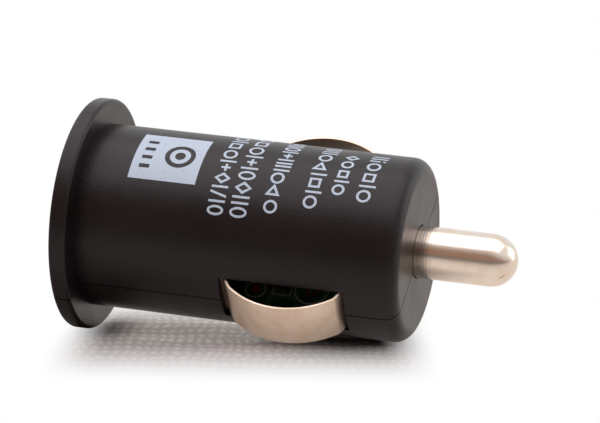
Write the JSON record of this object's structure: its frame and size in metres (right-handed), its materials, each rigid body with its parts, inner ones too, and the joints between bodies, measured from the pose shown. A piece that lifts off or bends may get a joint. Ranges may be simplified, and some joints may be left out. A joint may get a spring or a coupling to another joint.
{
  "type": "car usb charger plug",
  "caption": "Short black socket plug with a round flange, a USB port in the flange face, a sprung nickel tip and two bowed side contacts.",
  "frame": {"origin": "centre of the flange's outer face, where the plug stands, on the plug's axis", "axes": "+Z along the plug's axis towards the contact tip; +X towards the right side contact, in the seam plane; -Y towards the printed side"},
  "size_m": [0.0264, 0.0264, 0.0504],
  "materials": {
    "housing": "semi-gloss moulded plastic with a fine spark texture",
    "face_plate": "polished moulded plastic",
    "tip": "bright nickel plate on turned brass",
    "contact_strip": "satin nickel-plated spring strip",
    "spring_wire": "drawn spring wire",
    "tinned_steel": "tinned sheet",
    "socket_shell": "bright plated sheet",
    "socket_plastic": "moulded white plastic",
    "gold": "gold flash",
    "board": "green solder mask with white print",
    "ferrite": "pressed ferrite",
    "copper": "enamelled copper wire",
    "can_sleeve": "shrink sleeve over an aluminium can",
    "chip_body": "black moulding compound",
    "chip_ceramic": "fired ceramic",
    "lens": "clear tinted epoxy"
  },
  "bodies": {
    "housing": {"front_shell": "housing", "rear_shell": "housing", "face_plate": "face_plate", "tip_spring": "spring_wire", "spring_seat": "tinned_steel", "ground_ring": "contact_strip", "circuit_board": "board", "usb_shell": "socket_shell", "usb_insulator": "socket_plastic", "usb_contacts": "gold", "inductor_core": "ferrite", "inductor_winding": "copper", "input_capacitor": "can_sleeve", "output_capacitor": "can_sleeve", "regulator_ic": "chip_body", "diode": "chip_body", "input_fuse": "chip_ceramic", "chip_resistors": "chip_body", "chip_capacitors": "chip_ceramic", "indicator_led": "lens"},
    "tip": {"tip_pin": "tip"},
    "contact_left": {"side_contact_left": "contact_strip"},
    "contact_right": {"side_contact_right": "contact_strip"}
  },
  "joints": [
    {"name": "tip_press", "type": "slide", "parent": "housing", "child": "tip", "axis": [0, 0, -1], "range_m": [0, 0.003], "stiffness_N_per_m": 900, "springref_m": -0.0015, "deforming": ["tip_spring"]},
    {"name": "contact_left_press", "type": "slide", "parent": "housing", "child": "contact_left", "axis": [1, 0, 0], "range_m": [0, 0.0029], "stiffness_N_per_m": 1500, "springref_m": -0.0003},
    {"name": "contact_right_press", "type": "slide", "parent": "housing", "child": "contact_right", "axis": [-1, 0, 0], "range_m": [0, 0.0029], "stiffness_N_per_m": 1500, "springref_m": -0.0003}
  ]
}
